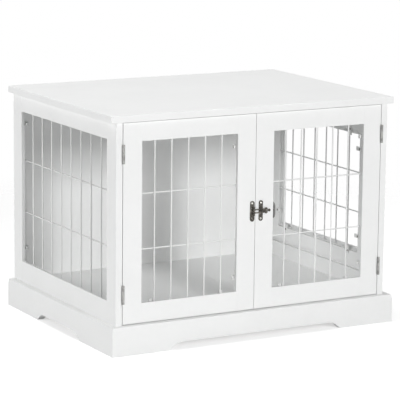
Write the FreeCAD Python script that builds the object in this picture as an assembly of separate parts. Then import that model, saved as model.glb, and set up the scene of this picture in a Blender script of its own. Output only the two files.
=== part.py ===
import FreeCAD, Part
import math
import os

# Pet crate that doubles as an end table. Millimetres, +Z up.
# The front with its two doors faces -Y, and the right side with its own door faces +X.
# The origin lies on the floor, in the middle of the base.

# ---------------------------------------------------------------- overall sizes
overall_height = 620.0
top_width = 850.0
top_depth = 632.0
top_thickness = 18.0
top_edge_chamfer = 1.0

# the case below the top
body_side_inset = 16.0
body_front_inset = 6.0
frame_thickness = 18.0
back_panel_thickness = 18.0

# ---------------------------------------------------------------- plinth
plinth_height = 76.0
plinth_thickness = 20.0
plinth_bevel_width = 12.0
plinth_bevel_depth = 3.0
front_foot_length = 167.0
side_foot_length = 193.0
arch_height = 19.5
bracket_rise = 12.0
bracket_slant = 15.0
bracket_run = 26.0
sill_height = 50.0

# ---------------------------------------------------------------- side frames
side_stile_width = 52.0
side_top_rail_width = 48.0
side_bottom_rail_width = 85.0
side_rail_reveal = 57.0
post_floor_clearance = 3.0

# ---------------------------------------------------------------- floor and inner rails
floor_thickness = 12.0
floor_rise = 4.0
door_stop_clearance = 0.8
cleat_size = 18.0
stretcher_height = 24.0
corner_block_leg = 45.0
corner_block_height = 44.0

# ---------------------------------------------------------------- doors
front_stile_width = 54.0
front_top_rail_width = 49.0
front_bottom_rail_width = 52.0
side_door_stile_width = 58.0
side_door_top_rail_width = 52.0
side_door_bottom_rail_width = 48.0
hinge_gap = 1.6
swing_gap = 2.0
meeting_gap = 1.2

# ---------------------------------------------------------------- joinery and grille recess
tenon_length = 12.0
tenon_thickness = 5.0
tenon_front_cheek = 2.5
tenon_shoulder = 6.0
recess_shoulder = 15.0
tenon_clearance = 0.1
recess_width = 10.0
recess_depth = 9.0
recess_corner_radius = 3.0

# ---------------------------------------------------------------- wire grilles
wire_radius = 2.0
wire_sides = 10
wire_overlap = 7.0
wire_end_length = 0.3
wire_clearance = 0.02
front_door_bay_count = 6
left_side_bay_count = 9
side_door_bay_count = 7
upright_bay_count = 3

# retaining clips on the inner face, two on every member
clip_from_corner = 36.5
clip_width = 11.0
clip_thickness = 2.4
clip_tail_reach = 20.5
clip_tail_chamfer = 3.5
clip_tongue_reach = 4.0
clip_nib_width = 8.0
clip_wire_clearance = 0.1

# ---------------------------------------------------------------- hinges
hinge_from_end = 79.0
barrel_radius = 3.6
barrel_standoff = 0.6
pin_radius = 1.6
pin_clearance = 0.05
pin_sides = 10
bore_sides = 12
post_knuckle_length = 14.0
door_knuckle_length = 20.0
knuckle_clearance = 0.3
leaf_thickness = 0.6
tab_clearance = 0.6
post_leaf_reach = 15.0
wrap_leaf_reach = 30.0
wrap_leaf_corner_radius = 13.0
pin_overhang = 0.4

# ---------------------------------------------------------------- hasp latch
latch_height = 342.0
plate_height = 55.0
plate_thickness = 2.0
hasp_plate_width = 13.0
hasp_plate_setback = 3.0
catch_plate_width = 12.0
catch_plate_setback = 10.5
latch_barrel_radius = 2.4
latch_pin_radius = 1.1
latch_pin_overhang = 0.6
latch_barrel_inset = 3.0
latch_barrel_standoff = 0.2
latch_knuckle_length = 11.6
latch_plate_knuckle_length = 6.0
arm_thickness = 2.0
arm_length = 50.0
arm_bar_width = 3.0
arm_slot_height = 5.6
arm_eye_radius = 8.0
arm_neck_length = 1.8
lobe_radius = 4.1
tip_ball_radius = 3.6
hook_width = 6.0
hook_clearance = 1.5
hook_height = 4.0
hook_reach = 7.0

# Two unit directions count as one when their cross product is shorter than this.
direction_tolerance = 0.03

# ---------------------------------------------------------------- worked-out places
body_half_width = top_width / 2 - body_side_inset
inner_half_width = body_half_width - frame_thickness
plinth_half_width = body_half_width + plinth_thickness
base_depth = top_depth - body_front_inset + plinth_thickness
plinth_front_y = -base_depth / 2
body_front_y = plinth_front_y + plinth_thickness
top_front_y = body_front_y - body_front_inset
back_y = top_front_y + top_depth
inner_back_y = back_y - back_panel_thickness
door_back_y = body_front_y + frame_thickness
stop_y = door_back_y + door_stop_clearance
under_top_z = overall_height - top_thickness
side_depth = back_y - body_front_y
side_opening_bottom_z = plinth_height + side_rail_reveal
side_opening_top_z = under_top_z - side_top_rail_width
floor_top_z = plinth_height + floor_rise
floor_bottom_z = floor_top_z - floor_thickness
cleat_bottom_z = floor_bottom_z - cleat_size
sill_bottom_z = plinth_height - sill_height

front_door_bottom_z = plinth_height + swing_gap
front_door_top_z = under_top_z - swing_gap
front_door_width = inner_half_width - hinge_gap - meeting_gap / 2

side_door_width = side_depth - 2 * side_stile_width - hinge_gap - swing_gap
side_door_bottom_z = side_opening_bottom_z + swing_gap
side_door_top_z = side_opening_top_z - swing_gap
side_door_start = side_stile_width + swing_gap

lip_depth = frame_thickness - recess_depth
upright_wire_depth = lip_depth + wire_radius + wire_clearance
cross_wire_depth = upright_wire_depth + 2 * wire_radius + wire_clearance

X_AXIS = FreeCAD.Vector(1, 0, 0)
Y_AXIS = FreeCAD.Vector(0, 1, 0)
Z_AXIS = FreeCAD.Vector(0, 0, 1)
ORIGIN = FreeCAD.Vector(0, 0, 0)


# ---------------------------------------------------------------- small helpers
def point(x, y, z):
    return FreeCAD.Vector(x, y, z)


def block(x_range, y_range, z_range):
    """A plain rectangular piece between two limits on each axis."""
    size_x = x_range[1] - x_range[0]
    size_y = y_range[1] - y_range[0]
    size_z = z_range[1] - z_range[0]
    return Part.makeBox(size_x, size_y, size_z, point(x_range[0], y_range[0], z_range[0]))


def rod(start, along, length, radius):
    return Part.makeCylinder(radius, length, start, along)


def faceted_rod(start, along, length, radius, sides):
    """A thin rod as a prism with few faces, whose corners lie on the circle."""
    across = along.cross(Y_AXIS)
    corners = []
    for side in range(sides + 1):
        angle = math.tau * side / sides
        outward = Y_AXIS * math.cos(angle) + across * math.sin(angle)
        corners.append(start + outward * radius)
    return Part.Face(Part.makePolygon(corners)).extrude(along * length)


def shifted(shape, x=0.0, y=0.0, z=0.0):
    moved = shape.copy()
    moved.translate(point(x, y, z))
    return moved


def turned(shape, degrees):
    """Turned about the vertical line through the origin."""
    moved = shape.copy()
    moved.rotate(ORIGIN, Z_AXIS, degrees)
    return moved


def mirrored(shape):
    """The opposite hand of a piece that is drawn for a left-hand door."""
    return shape.mirror(ORIGIN, X_AXIS)


def eased(shape, radius, wanted):
    """Rounds the edges for which wanted(edge) holds."""
    edges = [edge for edge in shape.Edges if wanted(edge)]
    return shape.makeFillet(radius, edges)


def chamfered(shape, size, wanted):
    edges = [edge for edge in shape.Edges if wanted(edge)]
    return shape.makeChamfer(size, edges)


def runs_along(edge, axis):
    if edge.Curve.TypeId != "Part::GeomLine":
        return False
    return edge.tangentAt(edge.FirstParameter).cross(axis).Length < direction_tolerance


def outline_solid(edges, thickness, along):
    """A closed outline of lines and arcs, pushed out into a board."""
    wire = Part.Wire(Part.__sortEdges__(edges))
    return Part.Face(wire).extrude(along * thickness)


def line(start, end):
    return Part.LineSegment(start, end).toShape()


def arc(start, middle, end):
    return Part.Arc(start, middle, end).toShape()


# ---------------------------------------------------------------- plinth
def bracket_curve(foot_end, direction, flat_level):
    """Edges of one bracket, from the foot's end up to the flat of the arch."""
    slant_end = foot_end + direction * bracket_slant
    curve_end = slant_end + direction * bracket_run
    rise_left = flat_level - bracket_rise
    radius = (bracket_run ** 2 + rise_left ** 2) / (2 * rise_left)
    half_run = bracket_run / 2
    sag_level = flat_level - radius + math.sqrt(radius ** 2 - half_run ** 2)
    foot = point(foot_end, 0, 0)
    slant_top = point(slant_end, 0, bracket_rise)
    bend = point(curve_end - direction * half_run, 0, sag_level)
    flat = point(curve_end, 0, flat_level)
    return [line(foot, slant_top), arc(slant_top, bend, flat)], curve_end


def plinth_board(length, foot_length, thickness, bevelled):
    """A base board along X with two bracket feet. Its outer face lies at y = 0, facing -Y."""
    half = length / 2
    foot_end = half - foot_length
    right_curve, right_flat = bracket_curve(foot_end, -1, arch_height)
    left_curve, left_flat = bracket_curve(-foot_end, 1, arch_height)
    edges = [
        line(point(-half, 0, 0), point(-foot_end, 0, 0)),
        line(point(left_flat, 0, arch_height), point(right_flat, 0, arch_height)),
        line(point(foot_end, 0, 0), point(half, 0, 0)),
        line(point(half, 0, 0), point(half, 0, plinth_height)),
        line(point(half, 0, plinth_height), point(-half, 0, plinth_height)),
        line(point(-half, 0, plinth_height), point(-half, 0, 0)),
    ]
    board = outline_solid(edges + left_curve + right_curve, thickness, Y_AXIS)
    if not bevelled:
        return board
    bevel = [
        point(-half, 0, plinth_height - plinth_bevel_width),
        point(-half, 0, plinth_height),
        point(-half, plinth_bevel_depth, plinth_height),
        point(-half, 0, plinth_height - plinth_bevel_width),
    ]
    return board.cut(Part.Face(Part.makePolygon(bevel)).extrude(X_AXIS * length))


def mitred(board, side):
    """Cuts the end at +x or -x to 45 degrees, with the outer face full length."""
    box = board.BoundBox
    end = box.XMax if side > 0 else box.XMin
    thickness = box.YLength
    corners = [
        point(end, 0, 0),
        point(end, thickness, 0),
        point(end - side * thickness, thickness, 0),
        point(end, 0, 0),
    ]
    return board.cut(Part.Face(Part.makePolygon(corners)).extrude(Z_AXIS * plinth_height))


def front_plinth():
    board = plinth_board(2 * plinth_half_width, front_foot_length, plinth_thickness, True)
    board = mitred(mitred(board, 1), -1)
    return shifted(board, y=plinth_front_y)


def side_plinth(side):
    """The left board has side -1 and the right board +1. Only the front end is mitred."""
    board = plinth_board(base_depth, side_foot_length, plinth_thickness, True)
    board = mitred(board, -side)
    return shifted(turned(board, side * 90), x=side * plinth_half_width)


def back_rail():
    length = 2 * inner_half_width
    foot = front_foot_length - plinth_half_width + inner_half_width
    board = plinth_board(length, foot, back_panel_thickness, False)
    return shifted(board, y=inner_back_y)


def front_sill():
    across = (-inner_half_width, inner_half_width)
    return block(across, (body_front_y, door_back_y), (sill_bottom_z, plinth_height))


def corner_blocks():
    """Triangular glue blocks that tie the posts to the sill and to the back rail."""
    blocks = []
    for side in (-1, 1):
        for start_y, direction in ((door_back_y, 1), (inner_back_y, -1)):
            corner_x = side * inner_half_width
            corners = [
                point(corner_x, start_y, post_floor_clearance),
                point(corner_x - side * corner_block_leg, start_y, post_floor_clearance),
                point(corner_x, start_y + direction * corner_block_leg, post_floor_clearance),
                point(corner_x, start_y, post_floor_clearance),
            ]
            face = Part.Face(Part.makePolygon(corners))
            blocks.append(face.extrude(Z_AXIS * corner_block_height))
    return blocks


# ---------------------------------------------------------------- top, back, floor
def tabletop():
    half = top_width / 2
    slab = block((-half, half), (top_front_y, back_y), (under_top_z, overall_height))
    return chamfered(slab, top_edge_chamfer, lambda edge: edge.BoundBox.ZMin > under_top_z + top_edge_chamfer)


def back_panel():
    across = (-inner_half_width, inner_half_width)
    return block(across, (inner_back_y, back_y), (plinth_height, under_top_z))


def floor_panel():
    across = (-inner_half_width, inner_half_width)
    return block(across, (stop_y, inner_back_y), (floor_bottom_z, floor_top_z))


def top_stretcher():
    across = (-inner_half_width, inner_half_width)
    return block(across, (stop_y, stop_y + frame_thickness), (under_top_z - stretcher_height, under_top_z))


def cross_cleat(start_y):
    across = (-inner_half_width, inner_half_width)
    return block(across, (start_y, start_y + cleat_size), (cleat_bottom_z, floor_bottom_z))


def side_cleats():
    cleats = []
    for side in (-1, 1):
        outer = side * inner_half_width
        inner = outer - side * cleat_size
        across = (min(outer, inner), max(outer, inner))
        lengthwise = (door_back_y + cleat_size, inner_back_y - cleat_size)
        cleats.append(block(across, lengthwise, (cleat_bottom_z, floor_bottom_z)))
    return cleats


# ---------------------------------------------------------------- framed panels
# A framed panel is drawn with its left edge at x = 0 and its outer face at y = 0, facing -Y.
def grille_recess(left, right, bottom, top):
    """The routed pocket that the grille lies in, open to the inner face."""
    pocket = block(
        (left - recess_width, right + recess_width),
        (lip_depth, frame_thickness),
        (bottom - recess_width, top + recess_width),
    )
    return eased(pocket, recess_corner_radius, lambda edge: runs_along(edge, Y_AXIS))


def tenon(shoulder_x, direction, rail_bottom, rail_top, opening_above, clearance):
    """One rail end, or the mortise for it where a clearance is given."""
    lower_shoulder = tenon_shoulder if opening_above else recess_shoulder
    upper_shoulder = recess_shoulder if opening_above else tenon_shoulder
    tip_x = shoulder_x + direction * (tenon_length + clearance)
    return block(
        (min(shoulder_x, tip_x), max(shoulder_x, tip_x)),
        (tenon_front_cheek - clearance, tenon_front_cheek + tenon_thickness + clearance),
        (rail_bottom + lower_shoulder - clearance, rail_top - upper_shoulder + clearance),
    )


def framed_panel(width, bottom_z, top_z, stile_width, bottom_rail_width, top_rail_width,
                 stile_bottom_z, stile_top_z):
    """Two full-height stiles and two rails with stub tenons, as four separate pieces."""
    left = stile_width
    right = width - stile_width
    opening_bottom = bottom_z + bottom_rail_width
    opening_top = top_z - top_rail_width
    pocket = grille_recess(left, right, opening_bottom, opening_top)
    rail_heights = {
        "bottom_rail": (bottom_z, opening_bottom, True),
        "top_rail": (opening_top, top_z, False),
    }
    pieces = {
        "left_stile": block((0, left), (0, frame_thickness), (stile_bottom_z, stile_top_z)),
        "right_stile": block((right, width), (0, frame_thickness), (stile_bottom_z, stile_top_z)),
    }
    for name, (low, high, opening_above) in rail_heights.items():
        rail = block((left, right), (0, frame_thickness), (low, high))
        for shoulder_x, direction, stile in ((left, -1, "left_stile"), (right, 1, "right_stile")):
            rail = rail.fuse(tenon(shoulder_x, direction, low, high, opening_above, 0.0))
            mortise = tenon(shoulder_x, direction, low, high, opening_above, tenon_clearance)
            pieces[stile] = pieces[stile].cut(mortise)
        pieces[name] = rail.removeSplitter()
    for name in pieces:
        pieces[name] = pieces[name].cut(pocket)
    return pieces, (left, right, opening_bottom, opening_top)


def wire_grille(opening, bay_count):
    """A welded grille: evenly spaced uprights, with the cross wires behind them."""
    left, right, bottom, top = opening
    first_x = left - wire_overlap
    first_z = bottom - wire_overlap
    pitch_x = (right - left + 2 * wire_overlap) / bay_count
    pitch_z = (top - bottom + 2 * wire_overlap) / upright_bay_count
    overrun = wire_radius + wire_end_length
    upright_length = upright_bay_count * pitch_z + 2 * overrun
    cross_length = bay_count * pitch_x + 2 * overrun
    wires = []
    for index in range(bay_count + 1):
        foot = point(first_x + index * pitch_x, upright_wire_depth, first_z - overrun)
        wires.append(faceted_rod(foot, Z_AXIS, upright_length, wire_radius, wire_sides))
    for index in range(upright_bay_count + 1):
        end = point(first_x - overrun, cross_wire_depth, first_z + index * pitch_z)
        wires.append(faceted_rod(end, X_AXIS, cross_length, wire_radius, wire_sides))
    return wires


def grille_clip(wire_back):
    """A moulded clip at x = 0 that reaches from its tail at +z down over the wire at z = 0."""
    half = clip_width / 2
    back = frame_thickness + clip_thickness
    plate = block((-half, half), (frame_thickness, back), (-clip_tongue_reach, clip_tail_reach))
    plate = chamfered(plate, clip_tail_chamfer,
                      lambda edge: runs_along(edge, Y_AXIS) and edge.BoundBox.ZMin > 0)
    nib_front = wire_back + clip_wire_clearance
    nib = block(
        (-clip_nib_width / 2, clip_nib_width / 2),
        (nib_front, back),
        (-clip_tongue_reach, recess_width - wire_end_length),
    )
    return plate.fuse(nib).removeSplitter()


def tipped(shape, degrees):
    """Turned about the line along Y through the origin."""
    moved = shape.copy()
    moved.rotate(ORIGIN, Y_AXIS, degrees)
    return moved


def grille_clips(opening):
    """Eight clips, two on each member, at one distance from the corners of the opening."""
    left, right, bottom, top = opening
    upright_clip = grille_clip(upright_wire_depth + wire_radius)
    cross_clip = grille_clip(cross_wire_depth + wire_radius)
    clips = []
    for height in (bottom + clip_from_corner, top - clip_from_corner):
        clips.append(shifted(tipped(upright_clip, -90), x=left, z=height))
        clips.append(shifted(tipped(upright_clip, 90), x=right, z=height))
    for across in (left + clip_from_corner, right - clip_from_corner):
        clips.append(shifted(tipped(cross_clip, 180), x=across, z=bottom))
        clips.append(shifted(cross_clip, x=across, z=top))
    return clips


# ---------------------------------------------------------------- hinges
# A hinge is drawn for a door hung on its left edge: the middle of the gap is x = 0,
# the outer faces lie at y = 0, and the hinge's middle is at z = 0.
hinge_axis_y = -(barrel_radius + barrel_standoff)
hinge_half_length = door_knuckle_length / 2 + knuckle_clearance + post_knuckle_length


def pin_bore(foot, length, shaft_radius):
    """A bore whose flats clear the pin all the way round."""
    radius = (shaft_radius + pin_clearance) / math.cos(math.pi / bore_sides)
    return faceted_rod(foot, Z_AXIS, length, radius, bore_sides)


def knuckle(bottom, length):
    foot = point(0, hinge_axis_y, bottom)
    return rod(foot, Z_AXIS, length, barrel_radius).cut(pin_bore(foot, length, pin_radius))


def leaf_tab(x_range, bottom, length):
    """Joins a knuckle to its leaf, past the bore."""
    start_y = hinge_axis_y + pin_radius + tab_clearance
    return block(x_range, (start_y, 0), (bottom, bottom + length))


def post_leaf():
    inner = -(hinge_gap / 2 - leaf_thickness)
    x_range = (-hinge_gap / 2, inner)
    leaf = block(x_range, (0, post_leaf_reach), (-hinge_half_length, hinge_half_length))
    for bottom in (-hinge_half_length, door_knuckle_length / 2 + knuckle_clearance):
        leaf = leaf.fuse(knuckle(bottom, post_knuckle_length))
        leaf = leaf.fuse(leaf_tab(x_range, bottom, post_knuckle_length))
    return leaf.removeSplitter()


def door_leaf():
    """Runs along the door's edge and wraps onto its inner face, where its end is rounded."""
    inner = hinge_gap / 2 - leaf_thickness
    x_range = (inner, hinge_gap / 2)
    back = frame_thickness + leaf_thickness
    leaf = block(x_range, (0, back), (-hinge_half_length, hinge_half_length))
    wrap = block(
        (inner, hinge_gap / 2 + wrap_leaf_reach),
        (frame_thickness, back),
        (-hinge_half_length, hinge_half_length),
    )
    wrap = eased(wrap, wrap_leaf_corner_radius,
                 lambda edge: runs_along(edge, Y_AXIS) and edge.BoundBox.XMin > hinge_gap)
    leaf = leaf.fuse(wrap)
    bottom = -door_knuckle_length / 2
    leaf = leaf.fuse(knuckle(bottom, door_knuckle_length))
    leaf = leaf.fuse(leaf_tab(x_range, bottom, door_knuckle_length))
    return leaf.removeSplitter()


def hinge_pin():
    half = hinge_half_length + pin_overhang
    return faceted_rod(point(0, hinge_axis_y, -half), Z_AXIS, 2 * half, pin_radius, pin_sides)


def hinge_set(door_bottom_z, door_top_z):
    """The leaves and pins of a door's two hinges, as three groups of two."""
    heights = (door_bottom_z + hinge_from_end, door_top_z - hinge_from_end)
    return {
        "post_leaves": [shifted(post_leaf(), z=height) for height in heights],
        "door_leaves": [shifted(door_leaf(), z=height) for height in heights],
        "hinge_pins": [shifted(hinge_pin(), z=height) for height in heights],
    }


# ---------------------------------------------------------------- hasp latch
# Drawn with the gap at x = 0, the hasp on the left and the catch on the right.
latch_axis_x = -(hasp_plate_setback + latch_barrel_inset)
latch_axis_y = -(plate_thickness + latch_barrel_standoff + latch_barrel_radius)
latch_half_knuckle = latch_knuckle_length / 2
hook_x = catch_plate_setback + catch_plate_width / 2


def rounded_plate(left, width):
    """A tall plate with half-round ends, lying on the face at y = 0."""
    half = plate_height / 2 - width / 2
    right = left + width
    middle = left + width / 2
    top = plate_height / 2
    edges = [
        line(point(left, 0, -half), point(left, 0, half)),
        arc(point(left, 0, half), point(middle, 0, top), point(right, 0, half)),
        line(point(right, 0, half), point(right, 0, -half)),
        arc(point(right, 0, -half), point(middle, 0, -top), point(left, 0, -half)),
    ]
    return outline_solid(edges, -plate_thickness, Y_AXIS)


def latch_knuckle(bottom, length):
    foot = point(latch_axis_x, latch_axis_y, bottom)
    return rod(foot, Z_AXIS, length, latch_barrel_radius).cut(pin_bore(foot, length, latch_pin_radius))


def hasp_plate():
    plate = rounded_plate(-(hasp_plate_setback + hasp_plate_width), hasp_plate_width)
    top_bottom = latch_half_knuckle + knuckle_clearance
    for bottom in (top_bottom, -top_bottom - latch_plate_knuckle_length):
        neck = block(
            (latch_axis_x - latch_pin_radius, latch_axis_x + latch_pin_radius),
            (latch_axis_y + latch_pin_radius + latch_barrel_standoff, -plate_thickness / 2),
            (bottom, bottom + latch_plate_knuckle_length),
        )
        plate = plate.fuse(neck)
        plate = plate.fuse(latch_knuckle(bottom, latch_plate_knuckle_length))
    return plate.removeSplitter()


def hasp_pin():
    barrel_half = latch_half_knuckle + knuckle_clearance + latch_plate_knuckle_length
    half = barrel_half + latch_pin_overhang
    foot = point(latch_axis_x, latch_axis_y, -half)
    return faceted_rod(foot, Z_AXIS, 2 * half, latch_pin_radius, pin_sides)


def disc(x, z, radius):
    return rod(point(x, latch_axis_y - arm_thickness / 2, z), Y_AXIS, arm_thickness, radius)


def latch_arm():
    """A slotted arm that widens to an eye round the hook, with a trefoil tip."""
    half_slot = arm_slot_height / 2
    half_arm = half_slot + arm_bar_width
    depth = (latch_axis_y - arm_thickness / 2, latch_axis_y + arm_thickness / 2)
    tip_x = latch_axis_x + arm_length
    ball_x = tip_x - tip_ball_radius
    lobe_x = ball_x - tip_ball_radius - arm_neck_length - lobe_radius
    slot_start = latch_axis_x + latch_barrel_radius + latch_barrel_inset
    slot_end = hook_x + hook_width / 2 + hook_clearance
    arm = block((latch_axis_x, lobe_x), depth, (-half_arm, half_arm))
    arm = arm.fuse(disc(hook_x, 0, arm_eye_radius))
    for side in (-1, 1):
        arm = arm.fuse(disc(lobe_x, side * lobe_radius, lobe_radius))
    arm = arm.fuse(disc(ball_x, 0, tip_ball_radius))
    arm = arm.fuse(block((lobe_x, ball_x), depth, (-arm_bar_width / 2, arm_bar_width / 2)))
    slot = block((slot_start, slot_end), depth, (-half_slot, half_slot))
    slot = slot.fuse(disc(slot_start, 0, half_slot))
    arm = arm.cut(slot)
    arm = arm.fuse(latch_knuckle(-latch_half_knuckle, latch_knuckle_length))
    foot = point(latch_axis_x, latch_axis_y, -latch_half_knuckle)
    return arm.cut(pin_bore(foot, latch_knuckle_length, latch_pin_radius)).removeSplitter()


def catch_plate():
    """A plate, and the rounded hook on its face that stands through the slot of the arm."""
    plate = rounded_plate(catch_plate_setback, catch_plate_width)
    left = hook_x - hook_width / 2
    right = hook_x + hook_width / 2
    face_y = -plate_thickness
    shoulder_y = -(plate_thickness + hook_reach - hook_width / 2)
    crown_y = shoulder_y - hook_width / 2
    base_z = -hook_height / 2
    edges = [
        line(point(left, face_y, base_z), point(left, shoulder_y, base_z)),
        arc(point(left, shoulder_y, base_z), point(hook_x, crown_y, base_z),
            point(right, shoulder_y, base_z)),
        line(point(right, shoulder_y, base_z), point(right, face_y, base_z)),
        line(point(right, face_y, base_z), point(left, face_y, base_z)),
    ]
    return [plate, outline_solid(edges, hook_height, Z_AXIS)]


# ---------------------------------------------------------------- placing the assemblies
def on_front(shape, start_x):
    return shifted(shape, x=start_x, y=body_front_y)


def on_right(shape, start):
    """From the front drawing to the right side: +x runs towards the back."""
    return shifted(turned(shape, 90), x=body_half_width, y=body_front_y + start)


def on_left(shape, start):
    """From the front drawing to the left side: +x runs towards the front."""
    return shifted(turned(shape, -90), x=-body_half_width, y=back_y - start)


def placed(shapes, place, *where):
    if isinstance(shapes, list):
        return [place(shape, *where) for shape in shapes]
    return place(shapes, *where)


def side_frame(nodes, side_name, place, stile_names):
    pieces, opening = framed_panel(
        side_depth,
        side_opening_bottom_z - side_bottom_rail_width,
        under_top_z,
        side_stile_width,
        side_bottom_rail_width,
        side_top_rail_width,
        post_floor_clearance,
        under_top_z,
    )
    names = {
        "left_stile": stile_names[0],
        "right_stile": stile_names[1],
        "bottom_rail": "bottom_rail",
        "top_rail": "top_rail",
    }
    for piece, name in names.items():
        nodes[side_name + "_" + name] = placed(pieces[piece], place, 0.0)
    return opening


def door(nodes, name, sizes, stile_names, bay_count, place, start):
    width, bottom_z, top_z, stile_width, bottom_rail_width, top_rail_width = sizes
    pieces, opening = framed_panel(
        width, bottom_z, top_z, stile_width, bottom_rail_width, top_rail_width, bottom_z, top_z)
    names = {
        "left_stile": stile_names[0],
        "right_stile": stile_names[1],
        "bottom_rail": "bottom_rail",
        "top_rail": "top_rail",
    }
    for piece, label in names.items():
        nodes[name + "_" + label] = placed(pieces[piece], place, start)
    nodes[name + "_grille"] = placed(wire_grille(opening, bay_count), place, start)
    nodes[name + "_grille_clips"] = placed(grille_clips(opening), place, start)


def hang_door(nodes, name, door_bottom_z, door_top_z, right_hand, place, gap_middle):
    for label, shapes in hinge_set(door_bottom_z, door_top_z).items():
        if right_hand:
            shapes = [mirrored(shape) for shape in shapes]
        nodes[name + "_" + label] = placed(shapes, place, gap_middle)


def fit_latch(nodes, name, opposite, place, gap_middle):
    pieces = {
        "hasp_plate": [hasp_plate()],
        "hasp_pin": [hasp_pin()],
        "hasp_arm": [latch_arm()],
        "catch_plate": catch_plate(),
    }
    for label, shapes in pieces.items():
        if opposite:
            shapes = [mirrored(shape) for shape in shapes]
        raised = [shifted(shape, z=latch_height) for shape in shapes]
        nodes[name + "_" + label] = placed(raised, place, gap_middle)


def build():
    nodes = {}
    nodes["tabletop"] = tabletop()
    nodes["back_panel"] = back_panel()
    nodes["floor_panel"] = floor_panel()
    nodes["top_stretcher"] = top_stretcher()
    nodes["front_plinth_board"] = front_plinth()
    nodes["left_plinth_board"] = side_plinth(-1)
    nodes["right_plinth_board"] = side_plinth(1)
    nodes["back_rail"] = back_rail()
    nodes["front_sill"] = front_sill()
    nodes["plinth_corner_blocks"] = corner_blocks()
    nodes["front_floor_cleat"] = cross_cleat(door_back_y)
    nodes["back_floor_cleat"] = cross_cleat(inner_back_y - cleat_size)
    nodes["side_floor_cleats"] = side_cleats()

    left_opening = side_frame(nodes, "left", on_left, ("back_post", "front_post"))
    nodes["left_grille"] = placed(wire_grille(left_opening, left_side_bay_count), on_left, 0.0)
    nodes["left_grille_clips"] = placed(grille_clips(left_opening), on_left, 0.0)
    side_frame(nodes, "right", on_right, ("front_post", "back_post"))

    front_sizes = (front_door_width, front_door_bottom_z, front_door_top_z,
                   front_stile_width, front_bottom_rail_width, front_top_rail_width)
    door(nodes, "left_door", front_sizes, ("hinge_stile", "meeting_stile"),
         front_door_bay_count, on_front, -inner_half_width + hinge_gap)
    door(nodes, "right_door", front_sizes, ("meeting_stile", "hinge_stile"),
         front_door_bay_count, on_front, meeting_gap / 2)
    side_sizes = (side_door_width, side_door_bottom_z, side_door_top_z,
                  side_door_stile_width, side_door_bottom_rail_width, side_door_top_rail_width)
    door(nodes, "side_door", side_sizes, ("latch_stile", "hinge_stile"),
         side_door_bay_count, on_right, side_door_start)

    hinge_x = inner_half_width - hinge_gap / 2
    hang_door(nodes, "left_door", front_door_bottom_z, front_door_top_z, False, on_front, -hinge_x)
    hang_door(nodes, "right_door", front_door_bottom_z, front_door_top_z, True, on_front, hinge_x)
    side_hinge = side_door_start + side_door_width + hinge_gap / 2
    hang_door(nodes, "side_door", side_door_bottom_z, side_door_top_z, True, on_right, side_hinge)

    fit_latch(nodes, "front", False, on_front, 0.0)
    fit_latch(nodes, "side", True, on_right, side_door_start - swing_gap / 2)
    return nodes


def main():
    os.makedirs("parts", exist_ok=True)
    for name, shapes in build().items():
        shape = Part.makeCompound(shapes) if isinstance(shapes, list) else shapes
        shape.exportStep(os.path.join("parts", name + ".step"))
        print(name, len(shape.Solids), round(shape.Volume), shape.isValid())


main()
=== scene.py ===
import math

import bmesh
import bpy
from mathutils import Matrix, Vector


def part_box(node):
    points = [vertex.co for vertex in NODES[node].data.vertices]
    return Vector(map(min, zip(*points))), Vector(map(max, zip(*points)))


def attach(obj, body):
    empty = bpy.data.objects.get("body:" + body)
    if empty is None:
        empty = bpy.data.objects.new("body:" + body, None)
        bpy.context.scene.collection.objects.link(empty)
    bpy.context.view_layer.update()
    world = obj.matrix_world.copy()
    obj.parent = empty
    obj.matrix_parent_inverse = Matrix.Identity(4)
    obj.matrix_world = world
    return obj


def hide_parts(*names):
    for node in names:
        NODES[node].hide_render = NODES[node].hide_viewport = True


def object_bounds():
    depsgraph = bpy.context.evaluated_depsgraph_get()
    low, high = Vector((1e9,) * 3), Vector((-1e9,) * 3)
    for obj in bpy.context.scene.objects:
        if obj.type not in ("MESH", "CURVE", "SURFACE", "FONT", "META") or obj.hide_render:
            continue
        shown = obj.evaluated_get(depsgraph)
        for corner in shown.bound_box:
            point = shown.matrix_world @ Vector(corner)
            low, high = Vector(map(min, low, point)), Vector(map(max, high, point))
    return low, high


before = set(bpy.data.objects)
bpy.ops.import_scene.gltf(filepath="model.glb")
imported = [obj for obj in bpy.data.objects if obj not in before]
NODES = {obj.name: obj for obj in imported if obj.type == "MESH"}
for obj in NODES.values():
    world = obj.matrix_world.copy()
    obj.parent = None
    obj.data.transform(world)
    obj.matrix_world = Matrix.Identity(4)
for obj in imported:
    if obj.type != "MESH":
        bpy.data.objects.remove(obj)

bl_info = {
    "name": "Crate End Table",
    "version": (1, 0, 0),
    "blender": (4, 5, 0),
    "location": "3D View > Sidebar > Crate",
    "description": "Paint, welded grilles and hardware for a crate that is also an end table",
    "category": "Add Mesh",
}

CAD_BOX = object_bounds()
MM = 0.001

# Points of a CAD mesh closer than this are one point.
SAME_POINT = 0.002 * MM
# Edges sharper than these are eased on a CAD node, and stay sharp in a new piece.
EASED_ANGLE = math.radians(35)
SHARP_ANGLE = math.radians(40)
# How strongly large faces pull the normals of an eased edge, from 1 to 100.
FLAT_FACE_WEIGHT = 80
# Faces across a rounded edge of a rod or of a latch.
ROUNDING_STEPS = 3
WHITE = (1, 1, 1, 1)

# Which way is inwards, away from the room, on each panel that holds a grille.
PANEL_INWARD = {
    "left": Vector((1, 0, 0)),
    "left_door": Vector((0, 1, 0)),
    "right_door": Vector((0, 1, 0)),
    "side_door": Vector((-1, 0, 0)),
}
PANEL_BODY = {
    "left": "cabinet",
    "left_door": "left_door",
    "right_door": "right_door",
    "side_door": "side_door",
}
HUNG_DOORS = ("left_door", "right_door", "side_door")

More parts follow.
